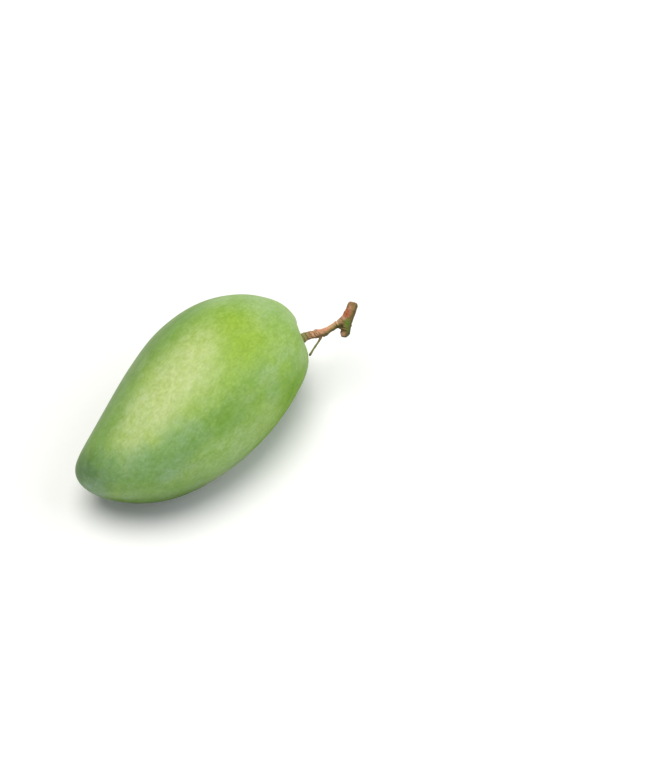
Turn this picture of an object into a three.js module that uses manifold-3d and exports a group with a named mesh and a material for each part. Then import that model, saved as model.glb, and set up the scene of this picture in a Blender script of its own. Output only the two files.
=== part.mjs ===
// A green mango with its picked stem, lying on one cheek.
//
// Millimetres, +Z up. The origin is the centre of the small flat that the fruit rests on.
// +X runs along the fruit to its stem end, and +Y is the side that its beak hooks towards.

import * as THREE from "three";
import { mergeVertices } from "three/addons/utils/BufferGeometryUtils.js";
import Module from "manifold-3d";

// ---- Driving dimensions --------------------------------------------------------------

// The fruit, measured along its own length, breadth and thickness.
const FRUIT_LENGTH = 135;
const FRUIT_BREADTH = 75.2;
const FRUIT_THICKNESS = 66.2;

// Its girth at a place from -1 (beak) to +1 (stem end) is 1 at the middle and changes by
// these shares: a steady widening, a fullness of both ends, and a rounding of the shoulder.
const GIRTH_WIDENING = 0.21;
const GIRTH_FULLNESS = 0.05;
const GIRTH_ROUNDING = -0.105;

// Its middle line bows away from the beak's side, and hooks back to it at the very tip.
const MIDLINE_BOW = -1.8;
const MIDLINE_SWEEP = -2.8;
const BEAK_HOOK = 14;
const BEAK_SHARPNESS = 8.3;

// The shallow hollow that the stalk grows from: which way it lies from the fruit's centre,
// as angles across and above its length, and how deep and wide it is.
const HOLLOW_ACROSS = THREE.MathUtils.degToRad(-23);
const HOLLOW_ABOVE = THREE.MathUtils.degToRad(2);
const HOLLOW_DEPTH = 2.1;
const HOLLOW_RADIUS = 7.5;

// How the fruit lies: its stem end is tipped up, and its centre is over the flat.
const REST_PITCH = THREE.MathUtils.degToRad(-5.5);
const FRUIT_CENTRE = new THREE.Vector3(-3.6, 0, 32.55);

// The stem grows in one plane, which is turned about Z and lifted from level.
const STEM_TURN = THREE.MathUtils.degToRad(-51);
const STEM_LIFT = THREE.MathUtils.degToRad(30);
const FOOT_GAP = 0.4;

// Points [along, up, over, radius] in that plane, from the foot of the stalk.
const STALK = [
  [0, -0.6, 0, 2.3],
  [3.0, 0.2, 0, 2.1],
  [7.0, 1.2, 0, 2.1],
  [10.0, 1.8, 0.2, 2.1],
  [12.4, 2.8, 0.3, 2.0],
  [14.6, 4.3, 0.2, 1.7],
  [17.4, 5.7, 0, 1.75],
  [20.3, 6.8, -0.2, 2.1],
  [22.6, 8.2, -0.3, 2.0],
];
const BRANCH = [
  [21.1, 0.2, 0.9, 1.8],
  [21.5, 2.7, 0.5, 2.2],
  [22.5, 6.6, 0, 2.35],
  [24.2, 12.0, -0.7, 2.3],
  [25.7, 16.7, -1.5, 2.1],
];
const TWIG = [
  [9.2, -1.15, 0.5, 0.5],
  [7.5, -3.7, 1.0, 0.45],
  [5.3, -6.9, 1.4, 0.45],
  [3.7, -9.8, 1.6, 0.55],
];

// How finely each shape is divided.
const FRUIT_SEGMENTS = 60;
const FRUIT_RINGS = 40;
const STEM_SIDES = 14;
const STALK_STEPS = 26;
const BRANCH_STEPS = 12;
const TWIG_SIDES = 8;
const TWIG_STEPS = 10;

// The block that cuts the flat only has to be larger than the fruit.
const CUTTER_SIZE = 200;

const wasm = await Module();
wasm.setup();

// ---- Solids --------------------------------------------------------------------------

// A closed geometry with shared vertices merged, as a solid that can be joined and cut.
function toSolid(geometry) {
  geometry.deleteAttribute("normal");
  geometry.deleteAttribute("uv");
  const merged = mergeVertices(geometry);
  const vertProperties = new Float32Array(merged.attributes.position.array);
  const triVerts = new Uint32Array(merged.index.array);
  return new wasm.Manifold(new wasm.Mesh({ numProp: 3, vertProperties, triVerts }));
}

function toGeometry(solid) {
  const { vertProperties, triVerts } = solid.getMesh();
  const geometry = new THREE.BufferGeometry();
  geometry.setAttribute("position", new THREE.BufferAttribute(vertProperties, 3));
  geometry.setIndex(new THREE.BufferAttribute(triVerts, 1));
  geometry.computeVertexNormals();
  return geometry;
}

// ---- Fruit ---------------------------------------------------------------------------

// The skin, without its hollow, in the direction of a unit vector from the centre.
function skinPoint(direction) {
  const { x: along, y: across, z: over } = direction;
  const toBeak = (1 - along) / 2;
  const girth = 1 + GIRTH_WIDENING * along + GIRTH_FULLNESS * along ** 2 + GIRTH_ROUNDING * along ** 3;
  const bow = MIDLINE_BOW * along ** 2 + MIDLINE_SWEEP * along ** 3;
  const midline = bow + BEAK_HOOK * toBeak ** BEAK_SHARPNESS;
  return new THREE.Vector3(
    (FRUIT_LENGTH / 2) * along,
    midline + (FRUIT_BREADTH / 2) * girth * across,
    (FRUIT_THICKNESS / 2) * girth * over,
  );
}

// The skin's outward normal there, from two small steps to each side.
function skinNormal(direction) {
  const step = 1e-4;
  const sideways = new THREE.Vector3(0, 0, 1).cross(direction).normalize();
  const upward = direction.clone().cross(sideways);
  const slope = (way) => {
    const ahead = skinPoint(direction.clone().addScaledVector(way, step).normalize());
    const behind = skinPoint(direction.clone().addScaledVector(way, -step).normalize());
    return ahead.sub(behind);
  };
  return slope(sideways).cross(slope(upward)).normalize();
}

const hollowDirection = new THREE.Vector3(1, Math.tan(HOLLOW_ACROSS), Math.tan(HOLLOW_ABOVE)).normalize();
const hollowCentre = skinPoint(hollowDirection);
const hollowNormal = skinNormal(hollowDirection);

// Presses a point of the skin in where it is near the hollow's centre.
function pressHollow(point) {
  const distance = point.distanceTo(hollowCentre) / HOLLOW_RADIUS;
  return point.addScaledVector(hollowNormal, -HOLLOW_DEPTH * Math.exp(-(distance ** 2)));
}

// A sphere whose pole is at the hollow, pressed to the fruit's shape point by point.
function makeFruit() {
  const geometry = new THREE.SphereGeometry(1, FRUIT_SEGMENTS, FRUIT_RINGS);
  const pole = new THREE.Vector3(0, 1, 0);
  geometry.applyQuaternion(new THREE.Quaternion().setFromUnitVectors(pole, hollowDirection));
  const position = geometry.attributes.position;
  for (let i = 0; i < position.count; i += 1) {
    const direction = new THREE.Vector3().fromBufferAttribute(position, i).normalize();
    const point = pressHollow(skinPoint(direction));
    position.setXYZ(i, point.x, point.y, point.z);
  }
  geometry.rotateY(REST_PITCH);
  geometry.translate(...FRUIT_CENTRE);
  const belowSurface = new THREE.BoxGeometry(CUTTER_SIZE, CUTTER_SIZE, CUTTER_SIZE);
  belowSurface.translate(0, 0, -CUTTER_SIZE / 2);
  return toGeometry(toSolid(geometry).subtract(toSolid(belowSurface)));
}

// ---- Stem ----------------------------------------------------------------------------

// A rod with flat ends that runs smoothly through points of [along, up, over, radius].
function bentRod(points, sides, steps) {
  const curve = new THREE.CatmullRomCurve3(points.map(([x, y, z]) => new THREE.Vector3(x, y, z)));
  const widths = new THREE.SplineCurve(points.map((point, i) => new THREE.Vector2(i, point[3])));
  const outOfPlane = new THREE.Vector3(0, 0, 1);
  const geometry = new THREE.CylinderGeometry(1, 1, 1, sides, steps);
  const position = geometry.attributes.position;
  for (let i = 0; i < position.count; i += 1) {
    const place = position.getY(i) + 0.5;
    const radius = widths.getPoint(place).y;
    const tangent = curve.getTangent(place);
    const side = outOfPlane.clone().cross(tangent).normalize();
    const lift = tangent.clone().cross(side);
    const point = curve.getPoint(place);
    point.addScaledVector(lift, radius * position.getX(i));
    point.addScaledVector(side, radius * position.getZ(i));
    position.setXYZ(i, point.x, point.y, point.z);
  }
  return geometry;
}

// The stalk and the piece of branch it was picked with grew as one.
function makeStem() {
  const stalk = toSolid(bentRod(STALK, STEM_SIDES, STALK_STEPS));
  const branch = toSolid(bentRod(BRANCH, STEM_SIDES, BRANCH_STEPS));
  return toGeometry(stalk.add(branch));
}

function makeTwig() {
  return toGeometry(toSolid(bentRod(TWIG, TWIG_SIDES, TWIG_STEPS)));
}

// ---- Assembly ------------------------------------------------------------------------

function named(name, geometry, color, roughness) {
  const mesh = new THREE.Mesh(geometry, new THREE.MeshStandardMaterial({ color, roughness, metalness: 0 }));
  mesh.name = name;
  return mesh;
}

// Where the stalk's foot is once the fruit lies on its cheek.
function stemFoot() {
  const foot = hollowCentre.clone().addScaledVector(hollowNormal, FOOT_GAP - HOLLOW_DEPTH);
  return foot.applyAxisAngle(new THREE.Vector3(0, 1, 0), REST_PITCH).add(FRUIT_CENTRE);
}

const mango = new THREE.Group();
mango.add(named("fruit", makeFruit(), 0x8db35a, 0.45));

const stemPlane = new THREE.Group();
stemPlane.position.copy(stemFoot());
stemPlane.rotation.set(STEM_LIFT, 0, STEM_TURN, "ZYX");
stemPlane.add(named("stem", makeStem(), 0xa8795a, 0.8));
stemPlane.add(named("side_twig", makeTwig(), 0x77702c, 0.75));
mango.add(stemPlane);

export default mango;
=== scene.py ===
# %% [markdown]
# # A green mango with its picked stem
# The CAD frame gives every piece its place and size, in metres, with the origin in the
# middle of the small flat that the fruit rests on. This lesson models the fruit, the stem
# and the dry side twig over that frame, and then paints each with its own material.

import contextlib
import math

import bmesh
import bpy
from mathutils import Matrix, Vector


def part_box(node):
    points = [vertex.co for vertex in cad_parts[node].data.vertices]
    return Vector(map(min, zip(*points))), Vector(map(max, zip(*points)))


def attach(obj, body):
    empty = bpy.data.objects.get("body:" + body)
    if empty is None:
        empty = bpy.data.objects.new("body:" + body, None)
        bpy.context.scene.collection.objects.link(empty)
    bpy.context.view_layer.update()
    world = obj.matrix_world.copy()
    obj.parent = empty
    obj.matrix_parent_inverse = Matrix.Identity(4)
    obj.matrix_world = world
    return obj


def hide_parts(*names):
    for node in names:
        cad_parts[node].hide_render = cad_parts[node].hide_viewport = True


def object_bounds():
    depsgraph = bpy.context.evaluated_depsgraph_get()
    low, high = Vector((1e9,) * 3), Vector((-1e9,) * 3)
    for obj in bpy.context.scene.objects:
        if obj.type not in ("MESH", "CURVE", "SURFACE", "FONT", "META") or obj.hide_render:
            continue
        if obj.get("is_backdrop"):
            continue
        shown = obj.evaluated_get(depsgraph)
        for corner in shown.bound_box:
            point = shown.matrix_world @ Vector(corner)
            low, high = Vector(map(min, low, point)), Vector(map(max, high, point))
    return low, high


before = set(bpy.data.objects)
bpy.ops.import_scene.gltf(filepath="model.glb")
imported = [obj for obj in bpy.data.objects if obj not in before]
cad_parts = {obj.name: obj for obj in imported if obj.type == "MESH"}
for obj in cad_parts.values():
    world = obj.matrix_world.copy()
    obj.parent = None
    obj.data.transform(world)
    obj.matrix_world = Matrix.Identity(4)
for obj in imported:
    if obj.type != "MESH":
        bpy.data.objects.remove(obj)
cad_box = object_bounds()
MM = 0.001


def in_mm(place):
    """A place in millimetres, rounded for printing."""
    return [round(c / MM, 1) for c in place]


print("frame box in mm:", [in_mm(corner) for corner in cad_box])

# %% [markdown]
# ## Camera
# A fruit on a table is looked down on, so the camera stands high and turns the fruit's
# length across the picture. A long lens keeps the two ends in true proportion. The aim is a
# point of the floor beside the fruit, so nothing has to be shifted or tilted.

# %% Camera
CAMERA_TURN = math.radians(-51.1)
CAMERA_ELEVATION = math.radians(60)
CAMERA_DISTANCE = 0.949
CAMERA_AIM = Vector((0.0580, -0.0317, 0))
LENS = 85

level = math.cos(CAMERA_ELEVATION)
to_camera = Vector((
    math.sin(CAMERA_TURN) * level,
    -math.cos(CAMERA_TURN) * level,
    math.sin(CAMERA_ELEVATION),
))
bpy.ops.object.camera_add(
    location=CAMERA_AIM + to_camera * CAMERA_DISTANCE,
    rotation=(math.radians(90) - CAMERA_ELEVATION, 0, CAMERA_TURN),
)
camera = bpy.context.object
camera.data.lens = LENS
bpy.context.scene.camera = camera
print("camera stands at", [round(c, 3) for c in camera.location])

# %% [markdown]
# ## Floor, sky and lights
# One large soft light stands above the fruit and a little behind it. It lays a broad pale
# highlight along the fruit's upper side. A second, weaker one lifts the near side, and a
# dim pale sky keeps the shadows open. The floor is plain and nearly white, and the camera
# sees the sky as white as the floor, so that no horizon shows behind the fruit.

# %% Floor and sky
FLOOR_SIZE = 12
FLOOR_WHITE = (0.93, 0.93, 0.93, 1)
FLOOR_ROUGHNESS = 0.9

bpy.ops.mesh.primitive_plane_add(size=FLOOR_SIZE)
floor = bpy.context.object
floor.name = "floor"
floor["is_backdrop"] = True

floor_paint = bpy.data.materials.new("floor_paint")
floor_paint.use_nodes = True
floor_shader = floor_paint.node_tree.nodes["Principled BSDF"]
floor_shader.inputs["Base Color"].default_value = FLOOR_WHITE
floor_shader.inputs["Roughness"].default_value = FLOOR_ROUGHNESS
floor.data.materials.append(floor_paint)

SKY_TINT = (0.93, 0.97, 1.0, 1)
SKY_GLOW = 0.30
SKY_SEEN = (1, 1, 1, 1)

sky = bpy.data.worlds.new("sky")
sky.use_nodes = True
sky_nodes = sky.node_tree.nodes
sky_light = sky_nodes["Background"]
sky_light.inputs["Color"].default_value = SKY_TINT
sky_light.inputs["Strength"].default_value = SKY_GLOW
white = sky_nodes.new("ShaderNodeBackground")
white.inputs["Color"].default_value = SKY_SEEN
seen = sky_nodes.new("ShaderNodeLightPath")
either = sky_nodes.new("ShaderNodeMixShader")
sky.node_tree.links.new(seen.outputs["Is Camera Ray"], either.inputs[0])
sky.node_tree.links.new(sky_light.outputs[0], either.inputs[1])
sky.node_tree.links.new(white.outputs[0], either.inputs[2])
sky.node_tree.links.new(either.outputs[0], sky_nodes["World Output"].inputs["Surface"])
bpy.context.scene.world = sky
bpy.context.scene.view_settings.view_transform = "Standard"
print("floor of", FLOOR_SIZE, "m, sky glow", SKY_GLOW)

# %% Lights
KEY_LIGHT = {
    "direction": (0.03, 0.11, 0.99), "spread": 40, "strength": 2.42, "colour": (1.0, 0.98, 0.93),
}
FILL_LIGHT = {
    "direction": (0.54, -0.54, 0.64), "spread": 44, "strength": 0.77, "colour": (0.95, 0.98, 1.0),
}


def soft_light(name, direction, spread, strength, colour):
    """A far soft light from a direction. The spread is the angle that it fills, in degrees."""
    bpy.ops.object.light_add(type="SUN")
    lamp = bpy.context.object
    lamp.name = name
    lamp.rotation_mode = "QUATERNION"
    lamp.rotation_quaternion = Vector(direction).to_track_quat("Z", "Y")
    lamp.data.angle = math.radians(spread)
    lamp.data.energy = strength
    lamp.data.color = colour
    print(name, "shines from", direction)


soft_light("key_light", **KEY_LIGHT)
soft_light("fill_light", **FILL_LIGHT)

# %% [markdown]
# ## Working by hand, in code
# Operators act on what is selected. These helpers select one piece alone, open it for
# editing, and pick its points by their place, the way a hand would pick them on screen.

# %% Helpers for modelling
def only(piece):
    """Makes the piece the only selected and the active object."""
    bpy.ops.object.select_all(action="DESELECT")
    piece.select_set(True)
    bpy.context.view_layer.objects.active = piece


@contextlib.contextmanager
def editing(piece):
    """Opens a piece in edit mode for the steps inside, and closes it after them."""
    only(piece)
    bpy.ops.object.mode_set(mode="EDIT")
    yield
    bpy.ops.object.mode_set(mode="OBJECT")


def pick(piece, wanted):
    """In edit mode, selects the points whose place passes the test, and counts them."""
    bpy.ops.mesh.select_mode(type="VERT")
    bpy.ops.mesh.select_all(action="DESELECT")
    shape = bmesh.from_edit_mesh(piece.data)
    picked = 0
    for point in shape.verts:
        point.select = bool(wanted(point.co))
        picked += point.select
    shape.select_flush(True)
    bmesh.update_edit_mesh(piece.data)
    return picked


def finish_with(piece, kind, **settings):
    """Adds a modifier with its settings and applies it."""
    only(piece)
    modifier = piece.modifiers.new(kind.lower(), kind)
    for name, value in settings.items():
        setattr(modifier, name, value)
    bpy.ops.object.modifier_apply(modifier=modifier.name)


def subdivide(piece, levels):
    """Rounds a piece off with the Subdivision Surface modifier."""
    finish_with(piece, "SUBSURF", levels=levels, render_levels=levels)


# %% [markdown]
# ## The fruit
# A mango is one smooth body with a full shoulder, a flatter belly side and a blunt hooked
# beak. It could be drawn as a turned profile, but it isn't round in any section. So a cube
# is divided, rounded into a ball with an even grid and no poles, pulled to the fruit's
# length, and then wrapped onto the frame's fruit like a skin.

# %% A ball of the fruit's size
GRID_CUTS = 27

fruit_low, fruit_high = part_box("fruit")
fruit_middle = (fruit_low + fruit_high) / 2
fruit_half = (fruit_high - fruit_low) / 2

bpy.ops.object.select_all(action="DESELECT")
bpy.ops.mesh.primitive_cube_add(size=2)
fruit = bpy.context.object
fruit.name = "mango_fruit"
with editing(fruit):
    bpy.ops.mesh.subdivide(number_cuts=GRID_CUTS)
    bpy.ops.transform.tosphere(value=1)
reach = max(point.co.length for point in fruit.data.vertices)
fruit.scale = fruit_half / reach
fruit.location = fruit_middle
bpy.ops.object.transform_apply(location=True, rotation=True, scale=True)
print("ball:", len(fruit.data.vertices), "points, reach", round(reach, 3))

# %% [markdown]
# A real fruit narrows to its beak, so the beak end of the ball is drawn in and pulled over
# to the belly side with proportional editing, which moves nearby points less and less. The
# grid then already lies about right before it is wrapped.

# %% Draw in the beak end
BEAK_GRIP = 0.85
BEAK_NARROWING = 0.72
BEAK_SHIFT = 9 * MM
BEAK_SOFTNESS = 75 * MM


def softly(distance):
    """Proportional editing: points up to this far from the picked ones move along, but less."""
    return {
        "use_proportional_edit": True,
        "proportional_edit_falloff": "SMOOTH",
        "proportional_size": distance,
    }


beak_tip = Vector((fruit_low.x, fruit_middle.y, fruit_middle.z))
narrowed = (1, BEAK_NARROWING, BEAK_NARROWING)
with editing(fruit):
    gripped = pick(fruit, lambda place: place.x < fruit_middle.x - BEAK_GRIP * fruit_half.x)
    bpy.ops.transform.resize(value=narrowed, center_override=beak_tip, **softly(BEAK_SOFTNESS))
    bpy.ops.transform.translate(value=(0, BEAK_SHIFT, 0), **softly(BEAK_SOFTNESS))
print("beak drawn in by", gripped, "gripped points")

# %% [markdown]
# Wrapping puts every point on the nearest face of the frame's fruit. A copy of that fruit
# is merged into one skin first, because a frame node is loose triangles. The grid is
# relaxed and wrapped again a few times, which spreads its points evenly and wipes out the
# facets, and subdivision then gives the fine smooth skin.

# %% Wrap the ball onto the frame's fruit
MERGE_WITHIN = 0.01 * MM
RELAX_ROUNDS = 4
RELAX_PASSES = 6
RELAX_FACTOR = 0.5
FAIRING_PASSES = 2
FAIRING_FACTOR = 0.35
FRUIT_LEVELS = 2

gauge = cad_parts["fruit"].copy()
gauge.data = gauge.data.copy()
bpy.context.scene.collection.objects.link(gauge)
with editing(gauge):
    bpy.ops.mesh.select_all(action="SELECT")
    bpy.ops.mesh.remove_doubles(threshold=MERGE_WITHIN)


def relax(piece, passes, factor=RELAX_FACTOR):
    """Evens out a piece's points with the smooth tool of edit mode."""
    with editing(piece):
        bpy.ops.mesh.select_all(action="SELECT")
        bpy.ops.mesh.vertices_smooth(factor=factor, repeat=passes)


def wrap(piece, target):
    """Puts every point of a piece on the nearest face of the target."""
    finish_with(piece, "SHRINKWRAP", target=target, wrap_method="NEAREST_SURFACEPOINT")


for _ in range(RELAX_ROUNDS):
    wrap(fruit, gauge)
    relax(fruit, RELAX_PASSES)
wrap(fruit, gauge)
relax(fruit, FAIRING_PASSES, FAIRING_FACTOR)
subdivide(fruit, FRUIT_LEVELS)
bpy.data.objects.remove(gauge)
print("fruit:", len(fruit.data.polygons), "faces")

# %% [markdown]
# A real skin isn't quite even: it rises and sinks by a few tenths of a millimetre over a
# thumb's breadth. A Displace modifier with a soft cloud texture gives that. It works on the
# finished grid, so the swells stay smooth.

# %% Let the skin swell a little
SWELL_SIZE = 26 * MM
SWELL_HEIGHT = 0.9 * MM


def cloud(name, size, depth=0):
    """A cloud texture whose lumps are about the given size."""
    texture = bpy.data.textures.new(name, "CLOUDS")
    texture.noise_scale = size
    texture.noise_depth = depth
    texture.noise_type = "SOFT_NOISE"
    return texture


def swell(piece, texture, height):
    """Moves a piece's points in and out by a texture, with the middle grey at rest."""
    finish_with(
        piece, "DISPLACE", texture=texture, strength=height, mid_level=0.5, texture_coords="LOCAL",
    )


swell(fruit, cloud("skin_swell", SWELL_SIZE), SWELL_HEIGHT)
print("skin swells by up to", round(SWELL_HEIGHT / 2 / MM, 2), "mm")

# %% [markdown]
# The stem isn't set in the middle of its hollow. Right above the stalk the skin sinks
# further and then rises to a lip, and below the stalk the shoulder stands fuller. Four
# points of the skin are moved along its normals with proportional editing, which moves the
# skin around them less and less.

# %% Shape the shoulder around the stalk
STEM_FOOT = Vector((56.75, -19.64, 39.50)) * MM
STEM_TURN = math.radians(-51)
STEM_LIFT = math.radians(30)
SHOULDER = [  # along, up and over from the stalk's foot, height, softness, all in mm
    [-2.2, 2.8, 0, -2.0, 9],
    [2.0, -15.0, 0, 0.9, 15],
    [-11.0, 16.5, 0, 0.45, 10],
    [-2.9, 6.3, 0, 0.80, 6],
]
GRIP = 0.9 * MM

stem_plane = (
    Matrix.Translation(STEM_FOOT)
    @ Matrix.Rotation(STEM_TURN, 4, "Z")
    @ Matrix.Rotation(STEM_LIFT, 4, "X")
)


def puff(piece, wanted, height, softness):
    """Moves the picked points out along the normals, and the points around them less."""
    with editing(piece):
        picked = pick(piece, wanted)
        bpy.ops.transform.shrink_fatten(value=height, **softly(softness))
    return picked


def nearest_point(piece, place):
    """The piece's own point that lies nearest to a place."""
    places = (point.co for point in piece.data.vertices)
    return min(places, key=lambda co: (co - place).length).copy()


for along, up, over, height, softness in SHOULDER:
    middle = nearest_point(fruit, stem_plane @ (Vector((along, up, over)) * MM))
    moved = puff(fruit, lambda place: (place - middle).length < GRIP, height * MM, softness * MM)
    print("moved", moved, "points by", height, "mm at", in_mm(middle))

# %% [markdown]
# The tip of the beak keeps the scar of the flower, a small blunt point. Around the foot of
# the stalk the skin puckers up into a low collar. Both are pulled out along the skin's own
# normals with proportional editing.

# %% The scar at the beak and the collar around the stalk
SCAR_PLACE = Vector((-70.2, 8.0, 26.0)) * MM
SCAR_REACH = 1.0 * MM
SCAR_HEIGHT = 0.35 * MM
SCAR_SOFTNESS = 2.2 * MM
COLLAR_INSIDE = 2.4 * MM
COLLAR_OUTSIDE = 3.2 * MM
COLLAR_HEIGHT = 0.30 * MM
COLLAR_SOFTNESS = 1.8 * MM

scar_middle = nearest_point(fruit, SCAR_PLACE)
scar_points = puff(
    fruit, lambda place: (place - scar_middle).length < SCAR_REACH, SCAR_HEIGHT, SCAR_SOFTNESS,
)
collar_points = puff(
    fruit, lambda place: COLLAR_INSIDE < (place - STEM_FOOT).length < COLLAR_OUTSIDE,
    COLLAR_HEIGHT, COLLAR_SOFTNESS,
)
print("scar from", scar_points, "points, collar from", collar_points)

# %% [markdown]
# The fruit stands on a small flat, which has to lie on the floor exactly. The lowest points
# are scaled flat against the floor's height, and the skin around them follows softly.

# %% Press the fruit's flat onto the floor
FLAT_HEIGHT = 0.45 * MM
FLAT_SOFTNESS = 6 * MM

with editing(fruit):
    flat_points = pick(fruit, lambda place: place.z < FLAT_HEIGHT)
    bpy.ops.transform.resize(
        value=(1, 1, 0), center_override=(0, 0, 0), **softly(FLAT_SOFTNESS),
    )
bpy.ops.object.shade_smooth()
print("flat:", flat_points, "points on the floor")

# %% [markdown]
# ## The stem
# The stalk leaves the hollow, thins to a neck, and meets a piece of the branch at a fork.
# All of it grew in nearly one plane, so it is drawn flat first, with distances along, up
# and over in that plane, and is turned to its place at the end. It could be joined from
# bent tubes. Instead a skeleton is drawn, one point after another, and the Skin modifier
# wraps wood of the right thickness around it, so that the fork grows together by itself.

# %% Routes of the stem's wood, as [along, up, over, radius] in mm
STALK_FOOT = [-3.0, -2.2, 0, 3.0]
STALK = [
    [0.1, -0.8, 0, 2.45],
    [3.2, 0.4, 0, 2.0],
    [7.0, 1.2, 0, 2.05],
    [10.0, 1.8, 0.2, 2.1],
    [12.4, 2.8, 0.3, 1.9],
    [14.6, 4.2, 0.2, 1.65],
    [17.4, 5.6, 0, 1.75],
    [20.2, 6.6, -0.1, 2.1],
    [22.7, 7.3, 0, 2.45],
]
BRANCH_UP = [
    [23.7, 9.6, -0.3, 2.6],
    [24.3, 12.0, -0.7, 2.6],
    [25.0, 14.4, -1.1, 2.65],
    [26.1, 18.2, -1.7, 2.7],
]
BRANCH_DOWN = [
    [22.1, 4.6, 0.3, 2.45],
    [21.6, 2.3, 0.5, 2.5],
    [21.1, -1.6, 1.0, 2.3],
]
stem_stops = [STALK_FOOT] + STALK + BRANCH_UP + BRANCH_DOWN
print("the stem's routes have", len(stem_stops), "stops")

# %% Draw the stem's skeleton
SKIN_FULLNESS = 1.075
FORK_SMOOTHING = 0.5
WOOD_LEVELS = 3


def start_skeleton(name, stop):
    """A mesh of one point: a plane merged to its middle and moved to the first stop."""
    bpy.ops.object.select_all(action="DESELECT")
    bpy.ops.mesh.primitive_plane_add(size=MM)
    piece = bpy.context.object
    piece.name = name
    with editing(piece):
        bpy.ops.mesh.merge(type="CENTER")
        bpy.ops.transform.translate(value=Vector(stop[:3]) * MM)
    return piece


def draw_wood(piece, start, route):
    """Extrudes a row of points from the skeleton's point at the start."""
    last = nearest_point(piece, Vector(start[:3]) * MM)
    with editing(piece):
        pick(piece, lambda place: (place - last).length < MERGE_WITHIN)
        for stop in route:
            here = Vector(stop[:3]) * MM
            bpy.ops.mesh.extrude_region_move(TRANSFORM_OT_translate={"value": here - last})
            last = here


def thicken(piece, stops):
    """Wraps the skeleton in wood: each point takes the radius of the stop it lies on."""
    only(piece)
    skin = piece.modifiers.new("skin", "SKIN")
    skin.branch_smoothing = FORK_SMOOTHING
    for point, width in zip(piece.data.vertices, piece.data.skin_vertices[0].data):
        stop = min(stops, key=lambda stop: (Vector(stop[:3]) * MM - point.co).length)
        width.radius = [stop[3] * MM * SKIN_FULLNESS] * 2
    bpy.ops.object.modifier_apply(modifier=skin.name)
    subdivide(piece, WOOD_LEVELS)


stem = start_skeleton("mango_stem", STALK_FOOT)
draw_wood(stem, STALK_FOOT, STALK)
draw_wood(stem, STALK[-1], BRANCH_UP)
draw_wood(stem, STALK[-1], BRANCH_DOWN)
thicken(stem, stem_stops)
print("stem wood:", len(stem.data.polygons), "faces")

# %% [markdown]
# The branch was cut above the fork and broke off below it. A bisect takes the wood off
# beyond each cut and fills the hole with one face. The broken end gets two cuts, so that it
# ends in a slanted stub.

# %% Cut the branch's ends
BRANCH_BEGINS = 17 * MM
CUTS = [  # a place on the cut in mm, and the way that its face looks
    [(25.3, 17.3, -1.6), (0.26, 1.0, 0.10)],
    [(21.0, -0.5, 1.0), (-0.10, -1.0, 0.15)],
    [(22.9, 0.2, 1.0), (0.78, -0.62, 0.10)],
]


def cut_off(piece, place, facing):
    """Takes off the branch's wood that lies beyond a plane, and closes the cut."""
    with editing(piece):
        pick(piece, lambda point: point.x > BRANCH_BEGINS)
        bpy.ops.mesh.bisect(
            plane_co=Vector(place) * MM, plane_no=Vector(facing), use_fill=True, clear_outer=True,
        )


for place, facing in CUTS:
    cut_off(stem, place, facing)
print("cut ends:", len(CUTS))

# %% [markdown]
# Bark keeps the marks of what grew there. Thin rings are scars of old bud scales, a thick
# ring is a joint of the growth, and small swellings are sleeping buds and the cushions that
# twigs grow from. Rings and balls are set into the wood here, and the Remesh modifier then
# melts everything into one closed skin, as bark has grown over it.

# %% Rings and swellings of the bark
RINGS = [  # along, up, over, lean of the ring's axis in degrees, radius, thickness, in mm
    [1.6, -0.2, 0, 28, 2.15, 0.22],
    [2.7, 0.2, 0, 36, 2.05, 0.24],
    [3.9, 0.6, 0, 44, 2.10, 0.26],
    [5.2, 0.9, 0, 36, 2.02, 0.22],
    [6.3, 1.1, 0, 46, 2.14, 0.26],
    [7.6, 1.3, 0, 34, 2.10, 0.32],
    [16.6, 5.3, 0, 14, 1.68, 0.22],
    [17.6, 5.7, 0, 30, 1.80, 0.30],
    [18.8, 6.2, 0, 24, 1.92, 0.28],
    [19.9, 6.6, 0, 32, 2.08, 0.24],
    [21.7, 3.2, 0.4, 76, 2.36, 0.36],
    [22.0, 4.3, 0.3, 66, 2.36, 0.22],
]
SWELLINGS = [  # along, up, over, radius, in mm
    [0.9, -1.9, 0.0, 1.45],
    [9.2, -0.5, 0.5, 0.95],
    [10.9, 0.3, 0.6, 0.75],
    [12.0, 0.8, 0.2, 0.60],
    [19.0, 5.0, 0.3, 1.40],
    [19.6, 7.8, 0.2, 1.45],
    [20.8, 9.0, 0.2, 1.65],
    [21.8, 10.2, 0.2, 1.60],
    [22.5, 11.6, 0.3, 1.55],
    [23.2, 13.0, 0.2, 1.60],
    [24.2, 5.5, 0.3, 0.80],
    [14.9, 5.2, -1.0, 0.55],
    [5.5, 1.6, -1.7, 0.60],
    [23.3, 3.8, -1.2, 0.75],
]
RING_SEGMENTS = 32
RING_SIDES = 8
BALL_LEVELS = 3
VOXEL = 0.15 * MM
MELT_PASSES = 6

growths = []
for along, up, over, lean, radius, thickness in RINGS:
    bpy.ops.mesh.primitive_torus_add(
        location=Vector((along, up, over)) * MM,
        rotation=(0, math.radians(90), math.radians(lean)),
        major_radius=radius * MM, minor_radius=thickness * MM,
        major_segments=RING_SEGMENTS, minor_segments=RING_SIDES,
    )
    growths.append(bpy.context.object)
for along, up, over, radius in SWELLINGS:
    bpy.ops.mesh.primitive_ico_sphere_add(
        location=Vector((along, up, over)) * MM, radius=radius * MM, subdivisions=BALL_LEVELS,
    )
    growths.append(bpy.context.object)

only(stem)
for growth in growths:
    growth.select_set(True)
bpy.ops.object.join()
finish_with(stem, "REMESH", mode="VOXEL", voxel_size=VOXEL)
relax(stem, MELT_PASSES)
print("stem with", len(growths), "growths:", len(stem.data.polygons), "faces")

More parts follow.
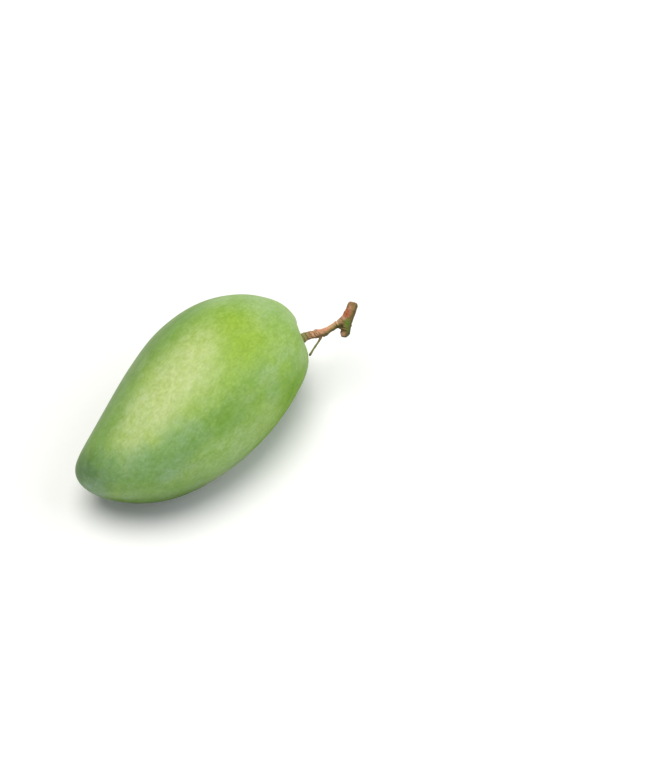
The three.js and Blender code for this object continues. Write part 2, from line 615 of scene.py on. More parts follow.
# %% [markdown]
# The cut ends have worn, so their edges are smoothed first. The bark itself is uneven in two
# sizes: low lumps as wide as the wood is thick, and fine ridges. Two cloud textures push the
# surface in and out by tenths of a millimetre.

# %% Roughen the bark
BARK_LUMP_SIZE = 2.2 * MM
BARK_LUMP_HEIGHT = 0.55 * MM
BARK_RIDGE_SIZE = 0.7 * MM
BARK_RIDGE_HEIGHT = 0.20 * MM
LOWER_END = 1.4 * MM
UPPER_END = 15.6 * MM
END_PASSES = 70
SETTLE_PASSES = 1


def is_branch_end(place):
    """Whether a place, in the stem's plane, is beyond one of the branch's two ends."""
    return place.x > BRANCH_BEGINS and not LOWER_END < place.y < UPPER_END


with editing(stem):
    end_points = pick(stem, is_branch_end)
    bpy.ops.mesh.vertices_smooth(factor=RELAX_FACTOR, repeat=END_PASSES)
swell(stem, cloud("bark_lumps", BARK_LUMP_SIZE), BARK_LUMP_HEIGHT)
swell(stem, cloud("bark_ridges", BARK_RIDGE_SIZE, depth=1), BARK_RIDGE_HEIGHT)
relax(stem, SETTLE_PASSES)
print("worn ends:", end_points, "points")

# %% [markdown]
# The stem is finished while it still lies flat. Its own matrix then lifts and turns it to
# the hollow, and applying that puts the place into the mesh and leaves the object at zero.

# %% Set the stem in the hollow
def set_in_stem_plane(piece):
    """Turns a piece that was drawn flat into the plane that the stem grows in."""
    only(piece)
    piece.matrix_world = stem_plane
    bpy.ops.object.transform_apply(location=True, rotation=True, scale=True)
    bpy.ops.object.shade_smooth()


set_in_stem_plane(stem)
print("stem stands at", in_mm(STEM_FOOT))

# %% [markdown]
# ## The side twig
# A thin dry stalk of a fruit that dropped early hangs from the stem. It is drawn and
# wrapped the same way. It is too thin for rings and a remesh, so its lumps come from stops
# of uneven width along the route and from a fine cloud texture.

# %% Draw the side twig
TWIG_ROOT = [9.35, -0.4, 0.5, 0.80]
TWIG = [
    [9.05, -1.3, 0.55, 0.60],
    [8.4, -2.3, 0.7, 0.53],
    [7.5, -3.8, 1.0, 0.50],
    [6.5, -5.2, 1.2, 0.55],
    [5.6, -6.5, 1.4, 0.50],
    [4.8, -7.9, 1.6, 0.54],
    [4.05, -9.1, 1.75, 0.60],
    [3.55, -9.9, 1.85, 0.60],
]
TWIG_LEVELS = 1
TWIG_LUMP_SIZE = 0.8 * MM
TWIG_LUMP_HEIGHT = 0.16 * MM

twig = start_skeleton("side_twig_stalk", TWIG_ROOT)
draw_wood(twig, TWIG_ROOT, TWIG)
thicken(twig, [TWIG_ROOT] + TWIG)
subdivide(twig, TWIG_LEVELS)
swell(twig, cloud("twig_lumps", TWIG_LUMP_SIZE, depth=1), TWIG_LUMP_HEIGHT)
set_in_stem_plane(twig)
print("twig:", len(twig.data.polygons), "faces")

# %% [markdown]
# ## Materials
# All three materials are built from nodes on Object coordinates, so a pattern stays on its
# piece from every side. A Mapping node of the Texture kind moves the zero to a chosen place,
# turns the axes with the piece and counts in millimetres, so every size below is a size on
# the real thing.

# %% Helpers that place nodes
MIX_MASK = 0  # the numbers of the Mix node's sockets for colours
MIX_BELOW = 6
MIX_ABOVE = 7
MIX_COLOUR = 2


def feed(tree, socket, value):
    """Links a socket to another node's output, or sets it to a plain value."""
    if isinstance(value, bpy.types.NodeSocket):
        tree.links.new(value, socket)
    else:
        socket.default_value = value


def add_node(tree, kind, inputs=None, **settings):
    """Adds a node, sets its options and feeds its inputs."""
    made = tree.nodes.new(kind)
    for name, value in settings.items():
        setattr(made, name, value)
    for name, value in (inputs or {}).items():
        feed(tree, made.inputs[name], value)
    return made


def blend(tree, mask, below, above, kind="MIX"):
    """Lays one colour over another where the mask is white."""
    mixed = add_node(tree, "ShaderNodeMix", data_type="RGBA", blend_type=kind)
    for number, value in ((MIX_MASK, mask), (MIX_BELOW, below), (MIX_ABOVE, above)):
        feed(tree, mixed.inputs[number], (*value, 1) if isinstance(value, tuple) else value)
    return mixed.outputs[MIX_COLOUR]


# %% [markdown]
# Where a colour goes is arithmetic: on places, on noise and on the way that the surface
# looks. A smooth ramp between two limits turns any such value into a mask.

# %% Helpers that work out masks
def maths(tree, operation, first, second, **settings):
    """A Math node on two values or links."""
    inputs = {0: first, 1: second}
    return add_node(tree, "ShaderNodeMath", inputs, operation=operation, **settings).outputs[0]


def times(tree, first, second):
    """The product of two values or links."""
    return maths(tree, "MULTIPLY", first, second)


def plus(tree, first, second):
    """The sum of two values or links."""
    return maths(tree, "ADD", first, second)


def vector_maths(tree, operation, first, second=(0, 0, 0), result="Vector"):
    """A Math node on two places or directions. A length or a product is its "Value"."""
    inputs = {0: first, 1: second}
    return add_node(tree, "ShaderNodeVectorMath", inputs, operation=operation).outputs[result]


def ramp(tree, value, start, end, low=0.0, high=1.0):
    """Takes a value from low to high in a smooth step between start and end."""
    inputs = {"Value": value, "From Min": start, "From Max": end, "To Min": low, "To Max": high}
    step = add_node(tree, "ShaderNodeMapRange", inputs, interpolation_type="SMOOTHSTEP")
    return step.outputs["Result"]


def noise(tree, place, size, detail, roughness):
    """Noise that swings to both sides of zero, in lumps of a size."""
    scale = maths(tree, "DIVIDE", 1.0, size)
    inputs = {"Vector": place, "Scale": scale, "Detail": detail, "Roughness": roughness}
    cloudy = add_node(tree, "ShaderNodeTexNoise", inputs)
    return maths(tree, "SUBTRACT", cloudy.outputs["Fac"], 0.5)


# %% [markdown]
# Three effects are shared by the fruit's skin and the wood, so each is a node group.
# *Mottling* is soft uneven colour of a chosen size. *Dots* are small round marks, such as
# the pores of the skin and of the bark. A *patch* is one soft spot with a ragged edge.

# %% The mottling group
MOTTLING_ROUGHNESS = 0.55


def start_group(name, inputs, output):
    """A node group with named inputs, each with its starting value, and one output."""
    group = bpy.data.node_groups.new(name, "ShaderNodeTree")
    for label, value in inputs.items():
        kind = "NodeSocketFloat" if isinstance(value, float) else "NodeSocketVector"
        socket = group.interface.new_socket(name=label, in_out="INPUT", socket_type=kind)
        socket.default_value = value
    group.interface.new_socket(name=output, in_out="OUTPUT", socket_type="NodeSocketFloat")
    given = group.nodes.new("NodeGroupInput").outputs
    out = group.nodes.new("NodeGroupOutput").inputs
    return group, given, out


def make_mottling():
    inputs = {"Vector": (0, 0, 0), "Size": 10.0, "Detail": 2.0, "Contrast": 1.0}
    group, given, out = start_group("mottling", inputs, "Value")
    swing = noise(group, given["Vector"], given["Size"], given["Detail"], MOTTLING_ROUGHNESS)
    stretched = times(group, swing, given["Contrast"])
    group.links.new(maths(group, "ADD", stretched, 0.5, use_clamp=True), out["Value"])
    return group


mottling = make_mottling()
print("group:", mottling.name)

# %% The dots group
SMALLEST_DOT = 0.5  # as a share of the radius that is asked for
DOT_VARIETY = 0.8
DOT_CORE = 0.4


def make_dots():
    inputs = {"Vector": (0, 0, 0), "Spacing": 3.0, "Radius": 0.3, "Share": 0.6}
    group, given, out = start_group("dots", inputs, "Mask")
    scale = maths(group, "DIVIDE", 1.0, given["Spacing"])
    cells = add_node(group, "ShaderNodeTexVoronoi", {"Vector": given["Vector"], "Scale": scale})
    chance = add_node(group, "ShaderNodeSeparateColor", {"Color": cells.outputs["Color"]})
    distance = times(group, cells.outputs["Distance"], given["Spacing"])
    size = plus(group, times(group, chance.outputs["Green"], DOT_VARIETY), SMALLEST_DOT)
    radius = times(group, size, given["Radius"])
    disc = ramp(group, distance, times(group, radius, DOT_CORE), radius, 1.0, 0.0)
    chosen = maths(group, "LESS_THAN", chance.outputs["Red"], given["Share"])
    group.links.new(times(group, disc, chosen), out["Mask"])
    return group


dots = make_dots()
print("group:", dots.name)

# %% The patch group
PATCH_DETAIL = 3.0
PATCH_ROUGHNESS = 0.5


def make_patch():
    group, given, out = start_group("patch", {
        "Vector": (0, 0, 0), "Centre": (0, 0, 0), "Reach": (10, 10, 10),
        "Softness": 0.5, "Raggedness": 0.2, "Grain": 5.0,
    }, "Mask")
    away = vector_maths(group, "SUBTRACT", given["Vector"], given["Centre"])
    scaled = vector_maths(group, "DIVIDE", away, given["Reach"])
    swing = noise(group, given["Vector"], given["Grain"], PATCH_DETAIL, PATCH_ROUGHNESS)
    shift = times(group, times(group, swing, given["Raggedness"]), 2.0)
    distance = plus(group, vector_maths(group, "LENGTH", scaled, result="Value"), shift)
    start = maths(group, "SUBTRACT", 1.0, given["Softness"])
    end = plus(group, 1.0, given["Softness"])
    group.links.new(ramp(group, distance, start, end, 1.0, 0.0), out["Mask"])
    return group


patch = make_patch()
print("group:", patch.name)

# %% [markdown]
# A material is then a stack of layers. Two helpers take the colour so far and give it back
# with one colour or a list of patches laid over it. Two more join the finished layers to
# the shader and put the material on its piece.

# %% Helpers that lay the layers of a material
def use(tree, group, **inputs):
    """Places a node group and feeds the inputs that are named in the call."""
    return add_node(tree, "ShaderNodeGroup", inputs, node_tree=group).outputs[0]


def start_material(name, centre, turn):
    """A material, its shader, and millimetre coordinates about a centre."""
    material = bpy.data.materials.new(name)
    material.use_nodes = True
    tree = material.node_tree
    place = add_node(tree, "ShaderNodeTexCoord").outputs["Object"]
    inputs = {"Vector": place, "Location": centre, "Rotation": turn, "Scale": (MM, MM, MM)}
    turned = add_node(tree, "ShaderNodeMapping", inputs, vector_type="TEXTURE")
    return material, tree, tree.nodes["Principled BSDF"], turned.outputs["Vector"]


def looks_along(tree, direction):
    """How far the surface looks along a direction: 1 is straight along it, -1 away."""
    normal = add_node(tree, "ShaderNodeTexCoord").outputs["Normal"]
    return vector_maths(tree, "DOT_PRODUCT", normal, tuple(direction), result="Value")


def lay(tree, colour, mask, strength, above):
    """Lays a colour over the colour so far, as strongly as its mask and strength say."""
    return blend(tree, times(tree, mask, strength), colour, above)


def lay_patches(tree, place, colour, patches):
    """Lays rows of colour, strength, centre, reach, softness, raggedness and grain."""
    for tint, strength, centre, reach, softness, raggedness, grain in patches:
        spot = use(
            tree, patch, Vector=place, Centre=centre, Reach=reach, Softness=softness,
            Raggedness=raggedness, Grain=grain,
        )
        colour = lay(tree, colour, spot, strength, tint)
    return colour


def wire(tree, shader, colour, rough, relief, strength, height):
    """Wires the finished colour, roughness and relief, whose height is in mm, to the shader."""
    inputs = {"Height": relief, "Strength": strength, "Distance": height * MM}
    bump = add_node(tree, "ShaderNodeBump", inputs)
    tree.links.new(colour, shader.inputs["Base Color"])
    tree.links.new(rough, shader.inputs["Roughness"])
    tree.links.new(bump.outputs["Normal"], shader.inputs["Normal"])


def dress(piece, material):
    """Puts a material on a piece, in place of any other."""
    piece.data.materials.clear()
    piece.data.materials.append(material)
    print(piece.name, "wears", material.name, "of", len(material.node_tree.nodes), "nodes")


# %% [markdown]
# ## The skin
# Under its wax an unripe mango is many greens at once: broad yellow-green and blue-green
# clouds, a lime patch where the sun reached it, fine mottling, and the pale pores that the
# fruit breathes through. A painted texture could hold all that, but nodes keep it sharp at
# any distance. Each effect is one layer, laid over those before it by its own mask.

# %% Colours and places on the skin
FRUIT_CENTRE = Vector((-3.6, 0, 32.55)) * MM
REST_PITCH = math.radians(-5.5)

LEAF_GREEN = (0.210, 0.395, 0.060)
YELLOW_GREEN = (0.305, 0.470, 0.085)
BLUE_GREEN = (0.215, 0.370, 0.152)
DEEP_GREEN = (0.160, 0.315, 0.060)
DUSK_GREEN_AND_SHADE = (0.155, 0.275, 0.056)
TEAL_GREEN = (0.160, 0.300, 0.118)
OLIVE_YELLOW_AND_HIGHLIGHT = (0.455, 0.560, 0.190)
PALE_WAX_AND_HIGHLIGHT = (0.500, 0.600, 0.290)
SUNNY_GREEN = (0.300, 0.460, 0.070)
LIME = (0.255, 0.425, 0.012)
RIM_GREEN = (0.170, 0.350, 0.010)
PALE_GREEN = (0.325, 0.490, 0.155)
BEAK_GREY = (0.230, 0.370, 0.210)
BEAK_DARK_AND_SHADE = (0.078, 0.165, 0.052)
PORE = (0.560, 0.700, 0.330)
SPECK = (0.10, 0.12, 0.03)

SKIN_PATCHES = [  # colour, strength, centre and reach in mm, softness, raggedness, grain in mm
    # Painted shade on the far flank, partly the skin's own deeper green.
    [DUSK_GREEN_AND_SHADE, 0.90, (-12, 35, 10), (75, 19, 24), 0.50, 0.30, 9],
    [DEEP_GREEN, 0.70, (-44, 14, 20), (20, 5, 8), 0.60, 0.45, 5],
    [DEEP_GREEN, 0.75, (19, 20, 28), (17, 6, 9), 0.60, 0.50, 6],
    [RIM_GREEN, 0.40, (18, 19, 28), (11, 5, 8), 0.70, 0.50, 6],
    [DEEP_GREEN, 0.25, (-28, 19, 23), (12, 5, 8), 0.70, 0.50, 6],
    # Painted highlight along the top, partly the skin's own olive yellow and pale wax.
    [OLIVE_YELLOW_AND_HIGHLIGHT, 0.95, (-7, 2, 31), (53, 13, 12), 0.90, 0.25, 9],
    [OLIVE_YELLOW_AND_HIGHLIGHT, 0.35, (0, -9, 31), (12, 6, 9), 0.80, 0.50, 6],
    [OLIVE_YELLOW_AND_HIGHLIGHT, 0.30, (16, 6, 32), (12, 6, 9), 0.80, 0.50, 6],
    [PALE_WAX_AND_HIGHLIGHT, 0.55, (-29, 5, 27), (10, 6, 9), 0.70, 0.50, 6],
    [SUNNY_GREEN, 0.55, (14, -15, 30), (40, 8, 11), 0.60, 0.40, 7],
    [BLUE_GREEN, 0.75, (-32, -17, 20), (26, 8, 12), 0.60, 0.50, 8],
    [TEAL_GREEN, 0.80, (-58, 4, 14), (11, 9, 10), 0.70, 0.60, 6],
    [BLUE_GREEN, 0.80, (-47, -8, 19), (10, 7, 9), 0.70, 0.60, 6],
    [DEEP_GREEN, 0.65, (-4, -26, 22), (18, 6, 10), 0.80, 0.60, 7],
    [RIM_GREEN, 0.22, (0, -26, 23), (8, 5, 8), 0.80, 0.60, 6],
    [DEEP_GREEN, 0.35, (-44, -14, 17), (10, 6, 8), 0.80, 0.60, 6],
    [PALE_GREEN, 0.60, (-15, -31, 13), (13, 6, 7), 0.60, 0.50, 6],
    [PALE_GREEN, 0.55, (58, -10, 15), (15, 24, 22), 0.60, 0.50, 9],
    [LEAF_GREEN, 0.60, (43, 9, 28), (15, 9, 9), 0.70, 0.60, 6],
    # Painted reflection along the top edge, partly the pale bloom of the wax.
    [PALE_GREEN, 0.50, (44, 16, 24), (20, 6, 6), 0.80, 0.50, 6],
    [YELLOW_GREEN, 0.50, (46, -19, 23), (10, 8, 9), 0.70, 0.50, 6],
    [RIM_GREEN, 0.20, (53, -14, 21), (7, 6, 8), 0.80, 0.60, 5],
    [LIME, 0.25, (32, 12, 30), (10, 6, 9), 0.90, 0.50, 7],
    [LIME, 0.75, (35, 1, 31), (10, 8, 9), 0.90, 0.45, 9],
    [LIME, 0.80, (28, -9, 31), (12, 8, 9), 0.90, 0.45, 9],
    [LIME, 0.35, (33, -18, 28), (10, 7, 9), 0.90, 0.50, 7],
    [OLIVE_YELLOW_AND_HIGHLIGHT, 0.15, (20, -29, 23), (10, 6, 8), 0.70, 0.60, 6],
    [PALE_GREEN, 0.65, (-10, -38, 5), (32, 7, 10), 0.60, 0.50, 7],
    [YELLOW_GREEN, 0.45, (15, -38, 5), (15, 6, 9), 0.60, 0.50, 6],
    [RIM_GREEN, 0.78, (33, -37, 6), (11, 8, 9), 0.80, 0.40, 7],
    [RIM_GREEN, 0.55, (15, -38, -14), (20, 9, 13.5), 0.25, 0.20, 6],
    [DEEP_GREEN, 0.45, (-36, -26, 0), (24, 9, 8), 0.60, 0.50, 7],
    [TEAL_GREEN, 0.30, (-30, -22, 17), (18, 6, 8), 0.70, 0.50, 7],
    [DEEP_GREEN, 0.30, (-56, -9, 9), (10, 8, 8), 0.70, 0.50, 6],
    [YELLOW_GREEN, 0.45, (34, 31, 4), (18, 9, 12), 0.80, 0.50, 8],
    [BLUE_GREEN, 0.45, (-34, 28, -2), (18, 8, 10), 0.80, 0.50, 8],
    [PALE_GREEN, 0.40, (6, 34, -12), (26, 8, 8), 0.80, 0.50, 8],
    [DEEP_GREEN, 0.35, (12, 38, 6), (12, 7, 9), 0.80, 0.60, 7],
    # Painted shade at the beak's tip, partly the skin's own dark green.
    [BEAK_DARK_AND_SHADE, 0.95, (-65, 18, 9), (11, 11, 11), 0.90, 0.50, 5],
    [BEAK_GREY, 0.75, (-67, 7, 4), (5, 7, 6), 0.90, 0.60, 4],
]
print("skin:", len(SKIN_PATCHES), "patches")

# %% The greens of the skin
LENGTHWISE = (0.7, 1, 1)  # clouds and mottling are longer along the fruit
GREEN_CLOUDS = {"Size": 15.0, "Detail": 2.0, "Contrast": 3.0}
BLUE_CLOUDS = {"Size": 9.0, "Detail": 3.0, "Contrast": 3.2}
BLUE_STRENGTH = 0.45
MOTTLES = [  # size in mm, detail, and how far it pushes red, green and blue each way
    [9.0, 1.0, 0.09, 0.05, 0.20],
    [3.2, 1.0, 0.08, 0.06, 0.20],
    [1.2, 2.0, 0.12, 0.10, 0.17],
]
MOTTLE_CONTRAST = 2.4
SKIN_DOTS = {  # colour, strength, spacing and radius in mm, and the share of places with one
    "pores": [PORE, 0.26, 1.3, 0.24, 0.85],
    "scars": [PORE, 0.20, 2.7, 0.32, 0.45],
    "specks": [SPECK, 0.60, 11.0, 0.35, 0.30],
}


def lay_greens(tree, place):
    """The skin's colour, with the finest mottling and the pores, which are relief as well."""
    mapping = add_node(tree, "ShaderNodeMapping", {"Vector": place, "Scale": LENGTHWISE})
    lengthwise = mapping.outputs["Vector"]
    clouds = use(tree, mottling, Vector=lengthwise, **GREEN_CLOUDS)
    colour = blend(tree, clouds, LEAF_GREEN, YELLOW_GREEN)
    bluish = use(tree, mottling, Vector=lengthwise, **BLUE_CLOUDS)
    colour = lay(tree, colour, bluish, BLUE_STRENGTH, BLUE_GREEN)
    colour = lay_patches(tree, place, colour, SKIN_PATCHES)

    for size, detail, *push in MOTTLES:
        uneven = use(
            tree, mottling, Vector=lengthwise, Size=size, Detail=detail, Contrast=MOTTLE_CONTRAST,
        )
        darker = tuple(1 - share for share in push)
        lighter = tuple(1 + share for share in push)
        colour = blend(tree, 1.0, colour, blend(tree, uneven, darker, lighter), "MULTIPLY")

    marks = {}
    for name, (tint, strength, spacing, radius, share) in SKIN_DOTS.items():
        marks[name] = use(tree, dots, Vector=place, Spacing=spacing, Radius=radius, Share=share)
        colour = lay(tree, colour, marks[name], strength, tint)
    return colour, uneven, marks["pores"]


# %% [markdown]
# The side that hangs over the table looks dark, mostly because little light gets there. Soft
# lights above a pale table leave it too bright, so the paint adds to the shade: the skin gets
# darker as it turns down, and most under the beak half. There, and on the flank below the
# lime patch, the wax is dull too, so that the pale table leaves no light rim. All of it
# follows the fruit's own normals and places, so it stays put from every side. The price is
# that this paint stays dark when the fruit is turned over.

# %% The painted shade and the dull wax
SHADE_LEAVES = (0.18, 0.20, 0.22)  # what full shade leaves of red, green and blue
SHADE_BEGINS = 0.24  # how far the skin looks up: 1 is straight up, -1 straight down
SHADE_IS_FULL = -0.52
SHADE_ANYWHERE = 0.35
SHADE_AT_BEAK = 0.6
DULL_BEGINS = 0.10
DULL_IS_FULL = -0.30
DULLNESS = 0.9
DULL_CORE = 0.6  # the dullness begins where the beak half's mask is this strong
BEAK_HALF = {
    "Centre": (-55, -22, -5), "Reach": (38, 38, 38), "Softness": 0.9, "Raggedness": 0.1,
    "Grain": 9,
}
FLANK = {
    "Centre": (28, -39, -4), "Reach": (32, 12, 11), "Softness": 0.7, "Raggedness": 0.1,
    "Grain": 9,
}
FLANK_DULLNESS = 0.5


def lay_underside(tree, place, colour):
    """The shaded colour, and how much duller the skin is than elsewhere."""
    upward = looks_along(tree, (0, 0, 1))
    beak_half = use(tree, patch, Vector=place, **BEAK_HALF)
    share = plus(tree, times(tree, beak_half, SHADE_AT_BEAK), SHADE_ANYWHERE)
    depth = times(tree, ramp(tree, upward, SHADE_BEGINS, SHADE_IS_FULL), share)
    colour = blend(tree, depth, colour, SHADE_LEAVES, "MULTIPLY")

    turned = ramp(tree, upward, DULL_BEGINS, DULL_IS_FULL, 0.0, DULLNESS)
    dull = times(tree, turned, ramp(tree, beak_half, DULL_CORE, 1.0))
    flank = use(tree, patch, Vector=place, **FLANK)
    return colour, plus(tree, dull, times(tree, flank, FLANK_DULLNESS))


# %% The skin material
WAX_ROUGHNESS = 0.42
WAX_UNEVENNESS = 0.14
WAX_GLOSS = 0.35
MOTTLE_RELIEF = 0.5
SKIN_BUMP = {"strength": 0.3, "height": 0.1}


def paint_skin():
    """Waxy green skin."""
    material, tree, shader, place = start_material("mango_skin", FRUIT_CENTRE, (0, REST_PITCH, 0))
    colour, uneven, pores = lay_greens(tree, place)
    colour, dull = lay_underside(tree, place, colour)
    wax = plus(tree, times(tree, uneven, WAX_UNEVENNESS), WAX_ROUGHNESS)
    relief = plus(tree, times(tree, uneven, MOTTLE_RELIEF), pores)
    wire(tree, shader, colour, plus(tree, wax, dull), relief, **SKIN_BUMP)
    shader.inputs["Specular IOR Level"].default_value = WAX_GLOSS
    return material


dress(fruit, paint_skin())

# %% [markdown]
# ## The bark
# The stalk is pinkish tan above, with cream and a painted highlight along its top, and olive
# below, with painted shade under it. It is grey-green at its foot and browner along the
# branch, with one red streak and one patch of fresh green, and painted shade on the branch's
# right side and in the fork. The creases are painted darker as shade, and dark wrinkles run
# around the stalk where old scales grew.

# %% Colours and places on the wood
TAN = (0.40, 0.215, 0.095)
PINK = (0.62, 0.33, 0.20)
CREAM_AND_HIGHLIGHT = (0.66, 0.40, 0.22)
OLIVE = (0.21, 0.165, 0.034)
DARK_OLIVE_AND_SHADE = (0.055, 0.055, 0.012)
GREY_GREEN = (0.23, 0.25, 0.090)
BROWN = (0.23, 0.140, 0.050)
RED_STREAK = (0.46, 0.110, 0.055)
FRESH_GREEN = (0.085, 0.210, 0.018)
DARK_LINE_AND_SHADE = (0.050, 0.032, 0.012)
CUT_WOOD = (0.64, 0.325, 0.225)
ROSE = (0.78, 0.34, 0.215)
LENTICEL = (0.50, 0.40, 0.26)

BARK_PATCHES = [  # colour, strength, centre and reach in mm, softness, raggedness, grain in mm
    [OLIVE, 0.70, (16.2, 4.0, 1.5), (3.2, 1.3, 2.2), 0.50, 0.60, 1.0],
    # Painted highlight along the stalk's top, partly the bark's own cream.
    [CREAM_AND_HIGHLIGHT, 0.90, (13.2, 5.1, 0.5), (2.4, 1.4, 3.0), 0.50, 0.40, 1.4],
    [CREAM_AND_HIGHLIGHT, 0.95, (16.6, 7.1, 0.5), (2.8, 1.5, 3.0), 0.50, 0.40, 1.2],
    [ROSE, 0.70, (11.0, 3.9, 0.6), (3.0, 1.4, 3.0), 0.60, 0.60, 1.0],
    [ROSE, 0.45, (8.0, 2.9, 0.6), (2.0, 1.2, 3.0), 0.60, 0.60, 1.0],
    [GREY_GREEN, 0.90, (-0.2, -0.5, 0), (3.0, 4, 5), 0.50, 0.90, 1.0],
    [BROWN, 0.80, (24.0, 9.0, 0), (3.6, 15, 8), 0.35, 0.60, 1.2],
    [CUT_WOOD, 0.65, (20.2, 9.2, 0.8), (2.2, 1.3, 2.6), 0.50, 0.90, 0.9],
    [BROWN, 0.95, (9.4, -1.0, 0.8), (1.7, 1.1, 2.4), 0.50, 0.30, 0.7],
    [DARK_OLIVE_AND_SHADE, 0.35, (9.4, -1.2, 0.8), (1.5, 0.9, 2.4), 0.50, 0.30, 0.7],
    [BROWN, 0.70, (11.3, -0.1, 0.6), (2.0, 0.8, 2.0), 0.50, 0.50, 0.7],
    [CUT_WOOD, 0.90, (19.2, 0.1, 1.4), (2.3, 2.1, 3.5), 0.35, 0.60, 0.9],
    # Painted shade in the crotch of the fork.
    [DARK_OLIVE_AND_SHADE, 0.70, (19.9, 4.6, 1.0), (2.0, 1.4, 2.6), 0.50, 0.70, 0.8],
    [DARK_LINE_AND_SHADE, 0.75, (20.3, 2.5, 1.6), (2.6, 0.65, 3.0), 0.60, 0.70, 0.8],
    [FRESH_GREEN, 0.55, (23.3, 2.6, 1.2), (1.1, 2.2, 2.6), 0.70, 1.20, 0.6],
    [FRESH_GREEN, 0.90, (22.7, 6.4, 2.0), (1.2, 2.6, 2.6), 0.70, 1.40, 0.5],
    [RED_STREAK, 0.90, (22.3, 11.5, 1.4), (1.5, 2.1, 3.0), 0.70, 1.20, 0.5],
    [RED_STREAK, 0.50, (23.4, 13.0, 1.4), (0.9, 1.9, 2.6), 0.80, 1.40, 0.5],
    [TAN, 0.20, (25.0, 13.6, 1.2), (1.6, 2.6, 2.0), 0.60, 0.80, 0.7],
    [CUT_WOOD, 0.30, (23.9, 14.6, 1.4), (0.8, 2.4, 2.4), 0.70, 1.00, 0.6],
]
print("bark:", len(BARK_PATCHES), "patches")

# %% The colours of the wood
BARK_BLOTCHES = {"Size": 1.5, "Detail": 3.0, "Contrast": 3.4}
UPPER_SIDE_ENDS = 0.55  # how far the wood looks up in the stem's plane
OLIVE_BEGINS = 10.0  # along the stem, in mm
OLIVE_IS_FULL = 14.0
OLIVE_STRENGTH = 0.9
UNDERSIDE_SHADE_IS_FULL = -0.85
UNDERSIDE_SHADE_ALONG = (5.0, 12.0, 0.22, 0.80)  # from and to along the stem in mm, and its strength
RIGHT_SHADE_ALONG = (19.0, 22.5)
RIGHT_SHADE_IS_FULL = 0.8
RIGHT_SHADE_STRENGTH = 0.6


def lay_wood(tree, place, along):
    """The wood's colour, with olive below and painted shade on the underside and right side."""
    along_axis, up_axis, _ = stem_plane.to_3x3().col
    upward = looks_along(tree, up_axis)
    blotches = use(tree, mottling, Vector=place, **BARK_BLOTCHES)
    colour = blend(tree, blotches, TAN, PINK)
    low_side = ramp(tree, upward, UPPER_SIDE_ENDS, 0.0)
    middle = times(tree, ramp(tree, along, OLIVE_BEGINS, OLIVE_IS_FULL), low_side)
    colour = lay(tree, colour, middle, OLIVE_STRENGTH, OLIVE)
    colour = lay_patches(tree, place, colour, BARK_PATCHES)

    # Painted shade: the underside, and the branch's right side, get dark olive.
    shaded_underside = ramp(tree, upward, 0.0, UNDERSIDE_SHADE_IS_FULL)
    colour = lay(tree, colour, shaded_underside, ramp(tree, along, *UNDERSIDE_SHADE_ALONG), DARK_OLIVE_AND_SHADE)
    shaded_right_side = ramp(tree, looks_along(tree, along_axis), 0.0, RIGHT_SHADE_IS_FULL)
    right = times(tree, ramp(tree, along, *RIGHT_SHADE_ALONG), shaded_right_side)
    return lay(tree, colour, right, RIGHT_SHADE_STRENGTH, DARK_OLIVE_AND_SHADE)


# %% [markdown]
# The wrinkles are the dark lines of a Wave texture that leans across the stalk. They show
# near its foot and again on the knob before the fork. The painted shade in the creases comes
# from the shape itself: Pointiness is below one half where the surface is hollow.

# %% Wrinkles of the bark, and painted shade in its creases
WRINKLE_LEAN = math.radians(-36)
WRINKLE_SPACING = 1.9
WAVE_LENGTH = 0.314  # the spacing of the Wave texture's lines at a scale of 1
WRINKLE_SHAPE = {"Distortion": 3.0, "Detail": 2.0, "Detail Scale": 3.0}
WRINKLE_WIDTH = 0.35
WRINKLE_STRENGTH = 0.5
FOOT_WRINKLES = (9.5, 7.5)  # where they fade and where they are full, along the stem in mm
KNOB_BEGINS = (15.5, 17.0)
KNOB_ENDS = (21.0, 19.5)
LEVEL_POINTINESS = 0.5
HOLLOW_POINTINESS = 0.46
CREASE_SHADE_STRENGTH = 0.65


def lay_wrinkles(tree, place, along, colour):
    """The colour with dark wrinkles and painted shade in the creases, and the wrinkles' mask."""
    inputs = {"Vector": place, "Rotation": (0, 0, WRINKLE_LEAN)}
    leaning = add_node(tree, "ShaderNodeMapping", inputs).outputs["Vector"]
    inputs = {"Vector": leaning, "Scale": WAVE_LENGTH / WRINKLE_SPACING, **WRINKLE_SHAPE}
    wave = add_node(tree, "ShaderNodeTexWave", inputs).outputs["Fac"]
    knob = times(tree, ramp(tree, along, *KNOB_BEGINS), ramp(tree, along, *KNOB_ENDS))
    ringed = plus(tree, ramp(tree, along, *FOOT_WRINKLES), knob)
    line = times(tree, ramp(tree, wave, WRINKLE_WIDTH, 0.0), ringed)
    colour = lay(tree, colour, line, WRINKLE_STRENGTH, DARK_LINE_AND_SHADE)

    # Painted shade: hollow creases are darker.
    pointiness = add_node(tree, "ShaderNodeNewGeometry").outputs["Pointiness"]
    crease_shade = ramp(tree, pointiness, LEVEL_POINTINESS, HOLLOW_POINTINESS)
    return lay(tree, colour, crease_shade, CREASE_SHADE_STRENGTH, DARK_LINE_AND_SHADE), line


# %% The bark material
LENTICELS = {"Spacing": 0.8, "Radius": 0.13, "Share": 0.5}
LENTICEL_STRENGTH = 0.25
BARK_GRAIN = {"Size": 0.45, "Detail": 4.0, "Contrast": 3.0}
GRAIN_DARKER = (0.72, 0.74, 0.70)
GRAIN_LIGHTER = (1.24, 1.22, 1.24)
BARK_ROUGHNESS = 0.6
GRAIN_ROUGHNESS = 0.2
BARK_GLOSS = 0.25
BARK_BUMP = {"strength": 0.7, "height": 0.14}
STEM_AXES = (STEM_LIFT, 0, STEM_TURN)


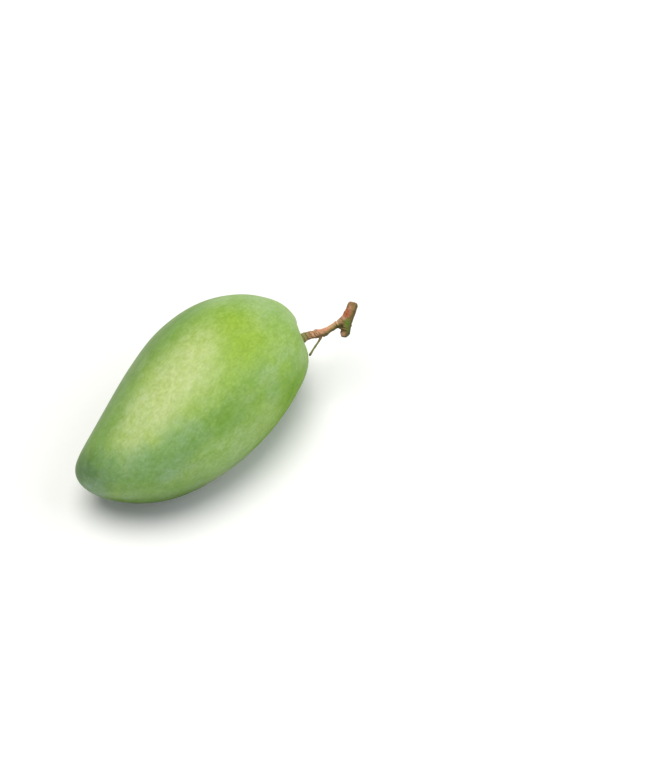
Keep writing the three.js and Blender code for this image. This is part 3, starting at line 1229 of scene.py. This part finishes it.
def paint_bark():
    """Matte bark with blotches, wrinkles and pores."""
    material, tree, shader, place = start_material("mango_bark", STEM_FOOT, STEM_AXES)
    along = add_node(tree, "ShaderNodeSeparateXYZ", {0: place}).outputs["X"]
    colour = lay_wood(tree, place, along)
    colour, wrinkles = lay_wrinkles(tree, place, along, colour)
    pores = use(tree, dots, Vector=place, **LENTICELS)
    colour = lay(tree, colour, pores, LENTICEL_STRENGTH, LENTICEL)
    fine = use(tree, mottling, Vector=place, **BARK_GRAIN)
    grain = blend(tree, fine, GRAIN_DARKER, GRAIN_LIGHTER)
    colour = blend(tree, 1.0, colour, grain, "MULTIPLY")

    rough = plus(tree, times(tree, fine, GRAIN_ROUGHNESS), BARK_ROUGHNESS)
    relief = maths(tree, "SUBTRACT", fine, wrinkles)
    wire(tree, shader, colour, rough, relief, **BARK_BUMP)
    shader.inputs["Specular IOR Level"].default_value = BARK_GLOSS
    return material


dress(stem, paint_bark())

# %% [markdown]
# ## The dry twig
# The twig has dried to olive, browner at its root and almost black at the withered tip.

# %% The twig material
TWIG_OLIVE = (0.175, 0.195, 0.022)
TWIG_BROWN = (0.120, 0.095, 0.022)
TWIG_BLACK = (0.040, 0.035, 0.012)
TWIG_PATCHES = [  # colour, strength, centre and reach in mm, softness, raggedness, grain in mm
    [TWIG_BROWN, 1.00, (9.3, -0.8, 0.5), (1.6, 1.6, 1.6), 0.50, 0.30, 0.8],
    [TWIG_BLACK, 0.85, (3.75, -9.8, 1.6), (1.3, 1.3, 1.3), 0.50, 0.30, 0.8],
]
TWIG_BLOTCHES = {"Size": 0.7, "Detail": 3.0, "Contrast": 3.0}
TWIG_GRAIN = {"Size": 0.25, "Detail": 3.0, "Contrast": 2.0}
TWIG_ROUGHNESS = 0.55
TWIG_BUMP = {"strength": 0.5, "height": 0.08}


def paint_twig():
    """Dry olive bark."""
    material, tree, shader, place = start_material("dry_twig_bark", STEM_FOOT, STEM_AXES)
    blotches = use(tree, mottling, Vector=place, **TWIG_BLOTCHES)
    colour = blend(tree, blotches, TWIG_BROWN, TWIG_OLIVE)
    colour = lay_patches(tree, place, colour, TWIG_PATCHES)
    fine = use(tree, mottling, Vector=place, **TWIG_GRAIN)
    rough = plus(tree, times(tree, fine, GRAIN_ROUGHNESS), TWIG_ROUGHNESS)
    wire(tree, shader, colour, rough, fine, **TWIG_BUMP)
    return material


dress(twig, paint_twig())

# %% [markdown]
# ## Hand the pieces over
# Each piece rides on the frame's one body and stands in for the frame's plain solid. The
# box of the plain model and the box of the finished one are written down, to compare.

# %% Pieces and sizes
for piece, solid, slot in [
    (fruit, "fruit", "skin"),
    (stem, "stem", "bark"),
    (twig, "side_twig", "dry_twig"),
]:
    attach(piece, "root")
    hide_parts(solid)
    print(piece.name, "stands for", solid)

boxes = {"cad": cad_box, "visual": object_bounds()}
for name, box in boxes.items():
    print(name, "box in mm:", [in_mm(corner) for corner in box])
